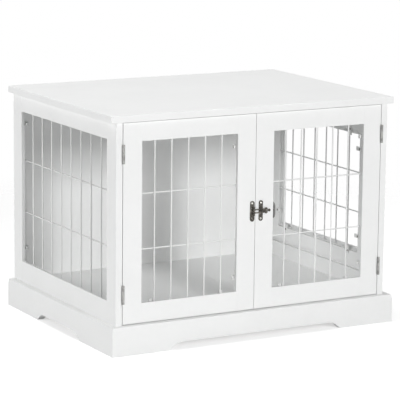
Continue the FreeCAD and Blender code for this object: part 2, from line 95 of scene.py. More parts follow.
# For each latch, the way out of the crate and what its two plates are fixed to.
LATCH_OUTWARD = {"front": Vector((0, -1, 0)), "side": Vector((1, 0, 0))}
LATCH_BODIES = {
    "front": {"hasp_plate": "left_door", "catch_plate": "right_door"},
    "side": {"hasp_plate": "side_door", "catch_plate": "cabinet"},
}


# ---------------------------------------------------------------- settings
class CratePaint(bpy.types.PropertyGroup):
    """Painted and raw wood"""
    colour: bpy.props.FloatVectorProperty(
        name="Paint", description="Satin white of the boards",
        subtype="COLOR", size=4, min=0, max=1, default=(0.905, 0.910, 0.906, 1))
    shade_colour: bpy.props.FloatVectorProperty(
        name="Paint, thin", description="Slightly greyer white where the coat is thinner",
        subtype="COLOR", size=4, min=0, max=1, default=(0.880, 0.886, 0.882, 1))
    roughness: bpy.props.FloatProperty(
        name="Roughness", description="Mean roughness of the satin coat", min=0, max=1, default=0.42)
    roller_size: bpy.props.FloatProperty(
        name="Roller stipple", description="Width of one bump of the sprayed and rolled coat",
        unit="LENGTH", default=1.6 * MM)
    stipple_depth: bpy.props.FloatProperty(
        name="Stipple depth", description="Height of the bumps of the coat",
        unit="LENGTH", default=0.035 * MM)
    drift_size: bpy.props.FloatProperty(
        name="Tone drift", description="Width of the soft drifts of tone",
        unit="LENGTH", default=140 * MM)
    sag_size: bpy.props.FloatProperty(
        name="Sag", description="Width of the shallow waves where the coat has flowed",
        unit="LENGTH", default=12 * MM)
    thin_range: bpy.props.FloatVectorProperty(
        name="Thin spots", description="Level of the pattern where a thin spot starts and is full",
        size=2, min=0, max=1, default=(0.42, 0.72))
    sheen: bpy.props.FloatProperty(
        name="Sheen", description="Weight of the smooth skin on the coat", min=0, max=1, default=0.08)
    edge_radius: bpy.props.FloatProperty(
        name="Eased edge", description="Radius that the board edges are sanded to",
        unit="LENGTH", default=0.5 * MM)
    raw_light: bpy.props.FloatVectorProperty(
        name="Pine, early wood", description="Pale bands of the unpainted pine battens",
        subtype="COLOR", size=4, min=0, max=1, default=(0.72, 0.55, 0.36, 1))
    raw_dark: bpy.props.FloatVectorProperty(
        name="Pine, late wood", description="Darker bands of the unpainted pine battens",
        subtype="COLOR", size=4, min=0, max=1, default=(0.52, 0.34, 0.18, 1))
    ring_size: bpy.props.FloatProperty(
        name="Year ring", description="Width of one year ring", unit="LENGTH", default=4 * MM)
    figure_size: bpy.props.FloatProperty(
        name="Figure", description="Width of the slow waves in the grain",
        unit="LENGTH", default=30 * MM)
    fuzz_size: bpy.props.FloatProperty(
        name="Saw fuzz", description="Width of one tuft of saw fuzz",
        unit="LENGTH", default=0.6 * MM)
    fuzz_depth: bpy.props.FloatProperty(
        name="Saw fuzz depth", description="Height of the saw fuzz",
        unit="LENGTH", default=0.08 * MM)


class CrateWire(bpy.types.PropertyGroup):
    """Welded and powder-coated grilles"""
    colour: bpy.props.FloatVectorProperty(
        name="Wire coat", description="White powder coat of the grilles",
        subtype="COLOR", size=4, min=0, max=1, default=(0.86, 0.865, 0.86, 1))
    peel_size: bpy.props.FloatProperty(
        name="Orange peel", description="Width of one bump of the powder coat",
        unit="LENGTH", default=1.1 * MM)
    peel_depth: bpy.props.FloatProperty(
        name="Orange peel depth", description="Height of the bumps of the powder coat",
        unit="LENGTH", default=0.03 * MM)
    drift_size: bpy.props.FloatProperty(
        name="Tone drift", description="Width of the soft drifts of tone",
        unit="LENGTH", default=50 * MM)
    gloss_coat: bpy.props.FloatProperty(
        name="Gloss", description="Weight of the glossy skin on the powder coat",
        min=0, max=1, default=0.25)
    sides: bpy.props.IntProperty(
        name="Sides", description="Faces round one wire", min=8, max=32, default=14)
    end_round: bpy.props.FloatProperty(
        name="End rounding", description="Radius that the powder coat gives a cut wire end",
        unit="LENGTH", default=1.1 * MM)
    weld_width: bpy.props.FloatProperty(
        name="Weld width", description="Width of the nugget where two wires cross",
        unit="LENGTH", default=4.6 * MM)
    weld_depth: bpy.props.FloatProperty(
        name="Weld depth", description="Depth of the nugget, from one wire towards the other",
        unit="LENGTH", default=3.4 * MM)


class CrateHardware(bpy.types.PropertyGroup):
    """Hinges, latches and screws"""
    bronze: bpy.props.FloatVectorProperty(
        name="Bronze", description="Dark antique bronze of the latches",
        subtype="COLOR", size=4, min=0, max=1, default=(0.062, 0.058, 0.051, 1))
    bronze_rubbed: bpy.props.FloatVectorProperty(
        name="Bronze, rubbed", description="Bare metal where the bronze is rubbed bright",
        subtype="COLOR", size=4, min=0, max=1, default=(0.27, 0.255, 0.23, 1))
    nickel: bpy.props.FloatVectorProperty(
        name="Hinge metal", description="Grey plated steel of the hinges",
        subtype="COLOR", size=4, min=0, max=1, default=(0.37, 0.37, 0.36, 1))
    nickel_dark: bpy.props.FloatVectorProperty(
        name="Hinge metal, dull", description="Duller patches of the plated steel",
        subtype="COLOR", size=4, min=0, max=1, default=(0.22, 0.22, 0.215, 1))
    bright_screw: bpy.props.FloatVectorProperty(
        name="Bright screws", description="Plated steel of the screws in the latch plates",
        subtype="COLOR", size=4, min=0, max=1, default=(0.50, 0.50, 0.47, 1))
    dark_screw: bpy.props.FloatVectorProperty(
        name="Dark screws", description="Blackened steel of the screws in clips and hinges",
        subtype="COLOR", size=4, min=0, max=1, default=(0.16, 0.16, 0.15, 1))
    patina_size: bpy.props.FloatProperty(
        name="Patina", description="Width of one patch of the bronze's patina",
        unit="LENGTH", default=4.5 * MM)
    pitting_size: bpy.props.FloatProperty(
        name="Pitting", description="Width of one pit in the cast bronze",
        unit="LENGTH", default=0.7 * MM)
    pitting_depth: bpy.props.FloatProperty(
        name="Pitting depth", description="Depth of the pits in the cast bronze",
        unit="LENGTH", default=0.05 * MM)
    cloud_size: bpy.props.FloatProperty(
        name="Dull patches", description="Width of one dull patch of the hinge metal",
        unit="LENGTH", default=9 * MM)
    brush_size: bpy.props.FloatProperty(
        name="Brushing", description="Width of one brush mark on the hinge metal",
        unit="LENGTH", default=0.5 * MM)
    brush_depth: bpy.props.FloatProperty(
        name="Brushing depth", description="Depth of the brush marks",
        unit="LENGTH", default=0.02 * MM)
    turning_size: bpy.props.FloatProperty(
        name="Turning marks", description="Width of one turning mark on a screw",
        unit="LENGTH", default=0.6 * MM)
    turning_depth: bpy.props.FloatProperty(
        name="Turning depth", description="Depth of the turning marks",
        unit="LENGTH", default=0.015 * MM)
    plate_thickness: bpy.props.FloatProperty(
        name="Plate thickness", description="Of the hasp and catch plates",
        unit="LENGTH", default=2.0 * MM)
    plate_round: bpy.props.FloatProperty(
        name="Plate edge", description="Rounding of the cast plates' edges",
        unit="LENGTH", default=0.8 * MM)
    arm_round: bpy.props.FloatProperty(
        name="Arm edge", description="Rounding of the latch arm's edges",
        unit="LENGTH", default=0.4 * MM)
    leaf_round: bpy.props.FloatProperty(
        name="Leaf edge", description="Rounding of the stamped hinge leaves",
        unit="LENGTH", default=0.15 * MM)
    pin_sides: bpy.props.IntProperty(
        name="Pin sides", description="Faces round a turned pin", min=8, max=48, default=20)
    pin_end_round: bpy.props.FloatProperty(
        name="Pin end", description="Share of a pin's radius that its ends are rounded by",
        min=0, max=0.5, default=0.4)
    screw_radius: bpy.props.FloatProperty(
        name="Screw head", description="Radius of a latch or clip screw's head",
        unit="LENGTH", default=2.8 * MM)
    screw_height: bpy.props.FloatProperty(
        name="Screw height", description="Height of a domed screw head",
        unit="LENGTH", default=1.3 * MM)
    leaf_screw_radius: bpy.props.FloatProperty(
        name="Hinge screw head", description="Radius of a hinge screw's head",
        unit="LENGTH", default=2.5 * MM)
    leaf_screw_height: bpy.props.FloatProperty(
        name="Hinge screw height", description="How far a hinge screw stands off the wrapped leaf",
        unit="LENGTH", default=0.6 * MM)
    flush_screw_height: bpy.props.FloatProperty(
        name="Flush screw height", description="How far a screw stands off the leaf on the post",
        unit="LENGTH", default=0.15 * MM)
    recess_share: bpy.props.FloatProperty(
        name="Recess", description="Depth of the cross recess as a share of the head's height",
        min=0, max=1, default=0.7)
    clip_screw_inset: bpy.props.FloatProperty(
        name="Clip screw inset", description="From a clip's outer end to its screw",
        unit="LENGTH", default=8.0 * MM)
    plate_screw_inset: bpy.props.FloatProperty(
        name="Plate screw inset", description="From a latch plate's end to its screw",
        unit="LENGTH", default=6.5 * MM)
    leaf_screw_spread: bpy.props.FloatProperty(
        name="Hinge screw spread", description="From a hinge's middle to its upper or lower screw",
        unit="LENGTH", default=15.5 * MM)
    leaf_near_screw: bpy.props.FloatProperty(
        name="Near hinge screws", description="From the pin to the two screws nearest the door's edge",
        unit="LENGTH", default=12.0 * MM)
    leaf_far_screw: bpy.props.FloatProperty(
        name="Far hinge screw", description="From the pin to the single screw in the leaf's round end",
        unit="LENGTH", default=23.0 * MM)
    post_screw_depth: bpy.props.FloatProperty(
        name="Post screw depth", description="From the pin to the screws of the leaf on the post",
        unit="LENGTH", default=11.7 * MM)
    leaf_face: bpy.props.FloatProperty(
        name="Leaf face", description="From the pin's middle to the facing side of a leaf",
        unit="LENGTH", default=0.2 * MM)


class CratePlastic(bpy.types.PropertyGroup):
    """Moulded clips"""
    colour: bpy.props.FloatVectorProperty(
        name="Clip plastic", description="White moulded plastic of the grille clips",
        subtype="COLOR", size=4, min=0, max=1, default=(0.84, 0.845, 0.835, 1))
    grain_size: bpy.props.FloatProperty(
        name="Grain", description="Width of one speck of the mould's grain",
        unit="LENGTH", default=0.4 * MM)
    grain_depth: bpy.props.FloatProperty(
        name="Grain depth", description="Height of the mould's grain",
        unit="LENGTH", default=0.015 * MM)
    flow_size: bpy.props.FloatProperty(
        name="Flow marks", description="Width of one flow mark in the plastic",
        unit="LENGTH", default=6 * MM)
    edge_round: bpy.props.FloatProperty(
        name="Moulded edge", description="Rounding of a clip's edges",
        unit="LENGTH", default=0.45 * MM)


class CrateStudio(bpy.types.PropertyGroup):
    """Camera, lamps and floor"""
    camera_place: bpy.props.FloatVectorProperty(
        name="Camera", description="Where the camera stands",
        subtype="XYZ", unit="LENGTH", size=3, default=(-2.841, -5.0833, 1.4331))
    camera_turn: bpy.props.FloatProperty(
        name="Camera turn", description="Angle to the right of straight at the front",
        subtype="ANGLE", default=math.radians(29.23))
    camera_dip: bpy.props.FloatProperty(
        name="Camera dip", description="Angle below the horizon",
        subtype="ANGLE", default=math.radians(10.83))
    camera_roll: bpy.props.FloatProperty(
        name="Camera roll", description="Turn about the line of sight",
        subtype="ANGLE", default=math.radians(0.63))
    lens: bpy.props.FloatProperty(
        name="Lens", description="Focal length on a 36 mm sensor", min=1, default=194.3)
    ambient: bpy.props.FloatProperty(
        name="Room light", description="Strength of the even light from all round",
        min=0, default=0.02)
    front_power: bpy.props.FloatProperty(
        name="Front lamp", description="Power of the far lamp straight in front, in watts",
        min=0, default=305.0)
    front_place: bpy.props.FloatVectorProperty(
        name="Front lamp place", description="Where the front lamp hangs",
        subtype="XYZ", unit="LENGTH", size=3, default=(-0.2, -9.2, 3.03))
    front_size: bpy.props.FloatProperty(
        name="Front lamp size", description="Side of the front lamp", unit="LENGTH", default=2.1)
    key_power: bpy.props.FloatProperty(
        name="Key lamp", description="Power of the nearer lamp left of the front, in watts",
        min=0, default=62.0)
    key_place: bpy.props.FloatVectorProperty(
        name="Key lamp place", description="Where the key lamp hangs",
        subtype="XYZ", unit="LENGTH", size=3, default=(-0.45, -4.6, 1.75))
    key_size: bpy.props.FloatProperty(
        name="Key lamp size", description="Side of the key lamp", unit="LENGTH", default=0.9)
    side_power: bpy.props.FloatProperty(
        name="Side lamp", description="Power of the soft lamp on the left, in watts",
        min=0, default=111.0)
    side_place: bpy.props.FloatVectorProperty(
        name="Side lamp place", description="Where the side lamp hangs",
        subtype="XYZ", unit="LENGTH", size=3, default=(-4.8, 0.6, 1.8))
    side_size: bpy.props.FloatProperty(
        name="Side lamp size", description="Side of the left lamp", unit="LENGTH", default=1.8)
    top_power: bpy.props.FloatProperty(
        name="Top lamp", description="Power of the soft lamp overhead, in watts", min=0, default=97.0)
    top_place: bpy.props.FloatVectorProperty(
        name="Top lamp place", description="Where the overhead lamp hangs",
        subtype="XYZ", unit="LENGTH", size=3, default=(0.0, 0.2, 4.6))
    top_size: bpy.props.FloatProperty(
        name="Top lamp size", description="Side of the overhead lamp", unit="LENGTH", default=2.0)
    floor_radius: bpy.props.FloatProperty(
        name="Floor radius", description="How far the pale floor reaches",
        unit="LENGTH", default=6.0)
    floor_fade: bpy.props.FloatProperty(
        name="Floor fade", description="From this distance on the floor melts into the backdrop",
        unit="LENGTH", default=1.1)
    floor_colour: bpy.props.FloatVectorProperty(
        name="Floor", description="Colour of the pale floor",
        subtype="COLOR", size=4, min=0, max=1, default=(0.80, 0.80, 0.80, 1))
    mottle_size: bpy.props.FloatProperty(
        name="Floor mottle", description="Width of the soft patches of tone in the floor",
        unit="LENGTH", default=0.5)
    floor_lift: bpy.props.FloatProperty(
        name="Floor lift", description="What brings the open floor to white for the camera",
        min=0, default=0.55)


SETTINGS = {
    "crate_paint": CratePaint,
    "crate_wire": CrateWire,
    "crate_hardware": CrateHardware,
    "crate_plastic": CratePlastic,
    "crate_studio": CrateStudio,
}


# ---------------------------------------------------------------- shader expressions
class Signal:
    """A number that varies over a surface. Arithmetic on it adds Math nodes."""

    def __init__(self, maker, socket):
        self.maker = maker
        self.socket = socket

    def _math(self, operation, *values):
        node = self.maker.add("ShaderNodeMath", {"operation": operation}, dict(enumerate(values)))
        return Signal(self.maker, node.outputs[0])

    def __add__(self, other):
        return self._math("ADD", self, other)

    def __radd__(self, other):
        return self._math("ADD", other, self)

    def __sub__(self, other):
        return self._math("SUBTRACT", self, other)

    def __rsub__(self, other):
        return self._math("SUBTRACT", other, self)

    def __mul__(self, other):
        return self._math("MULTIPLY", self, other)

    def __rmul__(self, other):
        return self._math("MULTIPLY", other, self)

    def __truediv__(self, other):
        return self._math("DIVIDE", self, other)

    def clamped(self):
        return self._math("MINIMUM", self._math("MAXIMUM", self, 0.0), 1.0)


class NodeMaker:
    """A node tree under construction, with its nodes made by a single method."""

    def __init__(self, owner, output):
        owner.use_nodes = True
        self.tree = owner.node_tree
        self.tree.nodes.clear()
        self.output = self.add(output)

    def add(self, kind, settings=None, inputs=None):
        """A node of one kind, with its settings made first and then its inputs set or linked."""
        node = self.tree.nodes.new(kind)
        for key, value in (settings or {}).items():
            if key == "stops":
                self._set_stops(node.color_ramp, value)
            else:
                setattr(node, key, value)
        for key, value in (inputs or {}).items():
            source = value.socket if isinstance(value, Signal) else value
            if isinstance(source, bpy.types.NodeSocket):
                self.tree.links.new(source, node.inputs[key])
            else:
                node.inputs[key].default_value = source
        return node

    def _set_stops(self, ramp, stops):
        while len(ramp.elements) < len(stops):
            ramp.elements.new(1.0)
        for element, (place, value) in zip(ramp.elements, stops):
            element.position = place
            element.color = (value, value, value, 1)

    def shown_rays(self):
        """One for rays that carry the backdrop to the camera, by mirrors and glass too."""
        rays = self.add("ShaderNodeLightPath")
        kinds = ("Is Camera Ray", "Is Glossy Ray", "Is Transmission Ray")
        seen, mirrored, through = (Signal(self, rays.outputs[kind]) for kind in kinds)
        return (seen + mirrored + through).clamped()

    def finish_with(self, shader):
        self.tree.links.new(shader.outputs[0], self.output.inputs["Surface"])


class Finish(NodeMaker):
    """A material whose patterns lie in the crate's own coordinates."""

    def __init__(self, name):
        self.material = bpy.data.materials.new(name)
        super().__init__(self.material, "ShaderNodeOutputMaterial")
        self.coordinates = self.add("ShaderNodeTexCoord").outputs["Object"]

    def noise(self, size, detail=2.0, roughness=0.5, stretch=None):
        """Noise whose lumps are about size metres wide, from 0 to 1."""
        coordinates = self.coordinates
        if stretch is not None:
            coordinates = self.add(
                "ShaderNodeMapping", {}, {"Vector": coordinates, "Scale": stretch}).outputs[0]
        node = self.add("ShaderNodeTexNoise", {}, {
            "Vector": coordinates, "Scale": 1 / size, "Detail": detail, "Roughness": roughness})
        return Signal(self, node.outputs["Fac"])

    def ramp(self, signal, stops):
        node = self.add("ShaderNodeValToRGB", {"stops": stops}, {"Fac": signal})
        return Signal(self, node.outputs["Color"])

    def mix(self, factor, first, second):
        """A colour between two colours."""
        node = self.add("ShaderNodeMix", {"data_type": "RGBA"}, {0: factor, 6: first, 7: second})
        return node.outputs[2]

    def bump(self, height, depth, strength=1.0):
        node = self.add("ShaderNodeBump", {}, {
            "Height": height, "Distance": depth, "Strength": strength})
        return node.outputs["Normal"]

    def surface(self, **inputs):
        """The Principled shader. An underscore in a name stands for a space."""
        named = {key.replace("_", " "): value for key, value in inputs.items()}
        self.finish_with(self.add("ShaderNodeBsdfPrincipled", {}, named))
        return self.material


def shaded(colour, share):
    """A colour with less light in it."""
    return tuple(share * channel for channel in colour[:3]) + (1,)


# ---------------------------------------------------------------- finishes
def paint_finish(paint):
    """Satin paint on smooth board: fine stipple, soft drifts of tone, a few thin spots."""
    finish = Finish("satin_white_paint")
    drift = finish.noise(paint.drift_size, detail=3.0)
    stipple = finish.noise(paint.roller_size, detail=3.0, roughness=0.6)
    sag = finish.noise(paint.sag_size)
    start, full = paint.thin_range
    thin = finish.ramp(drift * 0.7 + sag * 0.3, [(start, 0.0), (full, 1.0)])
    return finish.surface(
        Base_Color=finish.mix(thin, tuple(paint.colour), tuple(paint.shade_colour)),
        Roughness=(paint.roughness - 0.06) + drift * 0.08 + stipple * 0.05,
        Specular_IOR_Level=0.45,
        Coat_Weight=paint.sheen,
        Coat_Roughness=0.25,
        Normal=finish.bump(stipple + sag * 1.5, paint.stipple_depth, 0.6))


def raw_pine_finish(paint):
    """Planed pine: year rings that are drawn out level, and saw fuzz."""
    finish = Finish("raw_pine")
    rings = finish.noise(paint.ring_size, detail=4.0, stretch=(0.12, 0.12, 1.0))
    figure = finish.noise(paint.figure_size, stretch=(0.25, 0.25, 1.0))
    late_wood = finish.ramp(rings * 0.6 + figure * 0.4, [(0.38, 0.0), (0.62, 1.0)])
    fuzz = finish.noise(paint.fuzz_size)
    return finish.surface(
        Base_Color=finish.mix(late_wood, tuple(paint.raw_light), tuple(paint.raw_dark)),
        Roughness=0.62 + fuzz * 0.2,
        Normal=finish.bump(late_wood * 0.5 + fuzz, paint.fuzz_depth, 0.7))


def wire_finish(wire):
    """Powder coat: glossy orange peel with slow drifts towards grey."""
    finish = Finish("white_powder_coat")
    peel = finish.noise(wire.peel_size)
    drift = finish.noise(wire.drift_size)
    return finish.surface(
        Base_Color=finish.mix(drift * 0.35, tuple(wire.colour), shaded(wire.colour, 0.94)),
        Roughness=0.26 + peel * 0.1,
        Coat_Weight=wire.gloss_coat,
        Coat_Roughness=0.12,
        Normal=finish.bump(peel, wire.peel_depth, 0.6))


def plastic_finish(plastic):
    """Matte moulded plastic with a fine spark-eroded grain."""
    finish = Finish("white_clip_plastic")
    grain = finish.noise(plastic.grain_size, detail=1.0)
    flow = finish.noise(plastic.flow_size)
    return finish.surface(
        Base_Color=finish.mix(flow * 0.4, tuple(plastic.colour), shaded(plastic.colour, 0.93)),
        Roughness=0.48 + grain * 0.1,
        Normal=finish.bump(grain, plastic.grain_depth, 0.5))


def bronze_finish(hardware):
    """Antique bronze: dark patina with patches that are rubbed to the metal."""
    finish = Finish("antique_bronze")
    patina = finish.noise(hardware.patina_size, detail=4.0, roughness=0.6)
    pitting = finish.noise(hardware.pitting_size)
    rubbed = finish.ramp(patina, [(0.48, 0.0), (0.66, 1.0)])
    return finish.surface(
        Base_Color=finish.mix(rubbed, tuple(hardware.bronze), tuple(hardware.bronze_rubbed)),
        Metallic=0.85 + rubbed * 0.15,
        Roughness=0.44 - rubbed * 0.14 + pitting * 0.08,
        Normal=finish.bump(pitting + patina * 2.0, hardware.pitting_depth, 0.7))


def hinge_finish(hardware):
    """Grey plated steel with dull patches, brushed a little along its length."""
    finish = Finish("plated_hinge_steel")
    brushed = finish.noise(hardware.brush_size, detail=3.0, stretch=(1.0, 1.0, 0.08))
    cloud = finish.noise(hardware.cloud_size, detail=3.0)
    dull = finish.ramp(cloud, [(0.4, 0.0), (0.65, 1.0)])
    return finish.surface(
        Base_Color=finish.mix(dull, tuple(hardware.nickel), tuple(hardware.nickel_dark)),
        Metallic=0.9 + dull * 0.05,
        Roughness=0.34 + brushed * 0.14,
        Normal=finish.bump(brushed, hardware.brush_depth, 0.6))


def screw_finish(hardware, name, colour):
    """Plated screw steel with faint turning marks."""
    finish = Finish(name)
    turning = finish.noise(hardware.turning_size)
    return finish.surface(
        Base_Color=finish.mix(turning * 0.6, tuple(colour), shaded(colour, 0.7)),
        Metallic=0.92 + turning * 0.05,
        Roughness=0.24 + turning * 0.12,
        Normal=finish.bump(turning, hardware.turning_depth, 0.5))


def floor_finish(studio):
    """A pale floor that the camera sees as white where no shadow falls."""
    finish = Finish("studio_floor")
    mottle = finish.noise(studio.mottle_size)
    pale = tuple(studio.floor_colour)
    colour = finish.mix(mottle * 0.5, pale, shaded(pale, 0.985))
    matt = finish.add("ShaderNodeBsdfDiffuse", {}, {"Color": colour})
    shown = finish.shown_rays()
    lift = finish.add("ShaderNodeEmission", {}, {
        "Color": WHITE, "Strength": shown * studio.floor_lift})
    both = finish.add("ShaderNodeAddShader", {}, {0: matt.outputs[0], 1: lift.outputs[0]})
    length = finish.add(
        "ShaderNodeVectorMath", {"operation": "LENGTH"}, {0: finish.coordinates})
    distance = Signal(finish, length.outputs["Value"])
    melted = ((distance - studio.floor_fade) / studio.floor_fade).clamped() * shown
    clear = finish.add("ShaderNodeBsdfTransparent")
    finish.finish_with(finish.add(
        "ShaderNodeMixShader", {}, {0: melted, 1: both.outputs[0], 2: clear.outputs[0]}))
    return finish.material


def dress(obj, material):
    """Gives an object one material in place of what it has."""
    obj.data.materials.clear()
    obj.data.materials.append(material)


# ---------------------------------------------------------------- mesh helpers
def islands(node):
    """The lowest and highest corner of each separate solid in a CAD node, in no fixed order."""
    grid = bmesh.new()
    grid.from_mesh(NODES[node].data)
    bmesh.ops.remove_doubles(grid, verts=grid.verts, dist=SAME_POINT)
    unseen = set(grid.verts)
    boxes = []
    while unseen:
        group = [unseen.pop()]
        for vert in group:
            for edge in vert.link_edges:
                other = edge.other_vert(vert)
                if other in unseen:
                    unseen.remove(other)
                    group.append(other)
        low = Vector(min(v.co[axis] for v in group) for axis in range(3))
        high = Vector(max(v.co[axis] for v in group) for axis in range(3))
        boxes.append((low, high))
    grid.free()
    return boxes


def facing(direction, place):
    """A placement that turns +Z to a direction and then moves to a place."""
    turn = direction.to_track_quat("Z", "Y").to_matrix().to_4x4()
    return Matrix.Translation(place) @ turn


def on_plane(place, direction, level):
    """A place moved along a direction until it lies at a level."""
    return place + direction * (level - place.dot(direction))


def add_rod(mesh, start, end, radius, sides, rounding):
    """A round bar between two points with softened ends."""
    along = end - start
    made = bmesh.ops.create_cone(
        mesh, cap_ends=True, cap_tris=False, segments=sides, radius1=radius, radius2=radius,
        depth=along.length, matrix=facing(along.normalized(), (start + end) / 2))
    faces = {face for vert in made["verts"] for face in vert.link_faces if len(face.verts) > 4}
    rims = list({edge for face in faces for edge in face.edges})
    bmesh.ops.bevel(
        mesh, geom=rims, offset=rounding, offset_type="OFFSET", segments=ROUNDING_STEPS,
        profile=0.5, affect="EDGES", material=-1)


def finished_piece(name, mesh, material, body, replaced=()):
    """Turns a bmesh into a piece that rides on a body."""
    bmesh.ops.recalc_face_normals(mesh, faces=mesh.faces)
    data = bpy.data.meshes.new(name)
    mesh.to_mesh(data)
    mesh.free()
    for face in data.polygons:
        face.use_smooth = True
    data.set_sharp_from_angle(angle=SHARP_ANGLE)
    piece = bpy.data.objects.new(name, data)
    bpy.context.scene.collection.objects.link(piece)
    data.materials.append(material)
    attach(piece, body)
    if replaced:
        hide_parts(*replaced)


def soften(obj, radius, segments=2):
    """Sands the sharp edges of a CAD node, without touching its mesh."""
    weld = obj.modifiers.new("joined_edges", "WELD")
    weld.merge_threshold = SAME_POINT
    bevel = obj.modifiers.new("eased_edges", "BEVEL")
    bevel.width = radius
    bevel.segments = segments
    bevel.limit_method = "ANGLE"
    bevel.angle_limit = EASED_ANGLE
    bevel.use_clamp_overlap = True
    bevel.miter_outer = "MITER_ARC"
    shade = obj.modifiers.new("flat_faces", "WEIGHTED_NORMAL")
    shade.keep_sharp = False
    shade.weight = FLAT_FACE_WEIGHT


def add_pins(mesh, node, hardware):
    """Turns a round pin for each faceted one in a CAD node."""
    for low, high in islands(node):
        middle = (low + high) / 2
        radius = (high.y - low.y) / 2
        foot = Vector((middle.x, middle.y, low.z))
        head = Vector((middle.x, middle.y, high.z))
        add_rod(mesh, foot, head, radius, hardware.pin_sides, radius * hardware.pin_end_round)


# ---------------------------------------------------------------- screws
# A head starts as a square with this many cells a side. The middle five become the cross.
HEAD_CELLS = 5
# How much of a head's height its dome falls by, from the middle to the rim.
DOME_FALL = 0.75


def only_verts(parts):
    """The points among the points, edges and faces that an operator made."""
    return [part for part in parts if isinstance(part, bmesh.types.BMVert)]


def screw_head(radius, height, recess):
    """A domed round head that stands on z = 0, with a cross recess, as a mesh to copy."""
    head = bmesh.new()
    bmesh.ops.create_grid(head, x_segments=HEAD_CELLS, y_segments=HEAD_CELLS, size=radius)
    cell = 2 * radius / HEAD_CELLS
    cross = []
    for face in head.faces:
        across, along = sorted(abs(value) for value in face.calc_center_median().xy)
        if across < cell / 2 and along < 1.5 * cell:
            cross.append(face)
    for vert in head.verts:
        x, y = vert.co.x / radius, vert.co.y / radius
        flat = Vector((x * math.sqrt(1 - y * y / 2), y * math.sqrt(1 - x * x / 2), 0))
        vert.co = flat * radius
        vert.co.z = height * (1 - DOME_FALL * flat.length_squared)
    rim = [edge for edge in head.edges if edge.is_boundary]
    sunk = bmesh.ops.extrude_face_region(head, geom=cross)["geom"]
    bmesh.ops.delete(head, geom=cross, context="FACES")
    bmesh.ops.translate(head, verts=only_verts(sunk), vec=(0, 0, -recess))
    skirt = bmesh.ops.extrude_edge_only(head, edges=rim)["geom"]
    for vert in only_verts(skirt):
        vert.co.z = 0
    bmesh.ops.holes_fill(head, edges=[edge for edge in head.edges if edge.is_boundary])
    bmesh.ops.recalc_face_normals(head, faces=head.faces)
    data = bpy.data.meshes.new("screw_head")
    head.to_mesh(data)
    head.free()
    return data


def add_screw(mesh, head, place, direction, turn):
    """Adds a copy of a head that faces a direction, with its cross turned by an angle."""
    count = len(mesh.verts)
    mesh.from_mesh(head)
    mesh.verts.ensure_lookup_table()
    placement = facing(direction, place) @ Matrix.Rotation(turn, 4, "Z")
    bmesh.ops.transform(mesh, matrix=placement, verts=mesh.verts[count:])


# ---------------------------------------------------------------- operators
class CRATE_OT_boards(bpy.types.Operator):
    """Paints every board and eases its edges"""
    bl_idname = "crate.boards"
    bl_label = "Boards"

    def execute(self, context):
        paint = context.scene.crate_paint
        woods = {"painted_wood": paint_finish(paint), "raw_pine": raw_pine_finish(paint)}
        for node in NODES.values():
            slot = node.data.materials[0].name.split(".")[0]
            if slot in woods:
                dress(node, woods[slot])
                soften(node, paint.edge_radius)
        return {"FINISHED"}


class CRATE_OT_grilles(bpy.types.Operator):
    """Welds the four wire grilles from round wires with a nugget at each crossing"""
    bl_idname = "crate.grilles"
    bl_label = "Grilles"

    def execute(self, context):
        wire = context.scene.crate_wire
        coat = wire_finish(wire)
        for panel, inward in PANEL_INWARD.items():
            node = panel + "_grille"
            mesh = bmesh.new()
            uprights, crosswires = [], []
            for low, high in islands(node):
                size = high - low
                axis = max(range(3), key=lambda index: size[index])
                middle = (low + high) / 2
                start, end = middle.copy(), middle.copy()
                start[axis], end[axis] = low[axis], high[axis]
                radius = min(size) / 2
                (uprights if axis == 2 else crosswires).append(start)
                add_rod(mesh, start, end, radius, wire.sides, wire.end_round)
            self.weld(mesh, wire, uprights, crosswires, inward)
            finished_piece("welded_" + node, mesh, coat, PANEL_BODY[panel], [node])
        return {"FINISHED"}

    def weld(self, mesh, wire, uprights, crosswires, inward):
        """A flattened ball halfway between the two wires at each crossing."""
        size = Matrix.Diagonal((wire.weld_width, wire.weld_width, wire.weld_depth, 1))
        for upright in uprights:
            for cross in crosswires:
                depth = (upright.dot(inward) + cross.dot(inward)) / 2
                place = on_plane(Vector((upright.x, upright.y, cross.z)), inward, depth)
                bmesh.ops.create_icosphere(
                    mesh, subdivisions=2, radius=0.5, matrix=facing(inward, place) @ size)


class CRATE_OT_clips(bpy.types.Operator):
    """Finishes the moulded clips and drives a screw through each"""
    bl_idname = "crate.clips"
    bl_label = "Clips"

    def execute(self, context):
        hardware = context.scene.crate_hardware
        plastic = context.scene.crate_plastic
        moulded = plastic_finish(plastic)
        steel = screw_finish(hardware, "clip_screw_steel", hardware.dark_screw)
        height = hardware.screw_height
        head = screw_head(hardware.screw_radius, height, height * hardware.recess_share)
        for panel, inward in PANEL_INWARD.items():
            node = panel + "_grille_clips"
            dress(NODES[node], moulded)
            soften(NODES[node], plastic.edge_round)
            low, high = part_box(panel + "_grille")
            centre = (Vector(low) + Vector(high)) / 2
            mesh = bmesh.new()
            for index, (clip_low, clip_high) in enumerate(islands(node)):
                place = (clip_low + clip_high) / 2
                size = clip_high - clip_low
                axis = max(range(3), key=lambda number: size[number])
                outwards = math.copysign(1, place[axis] - centre[axis])
                place[axis] += outwards * (size[axis] / 2 - hardware.clip_screw_inset)
                place = on_plane(place, inward, max(clip_low.dot(inward), clip_high.dot(inward)))
                add_screw(mesh, head, place, inward, index)
            finished_piece(panel + "_clip_screws", mesh, steel, PANEL_BODY[panel])
        return {"FINISHED"}


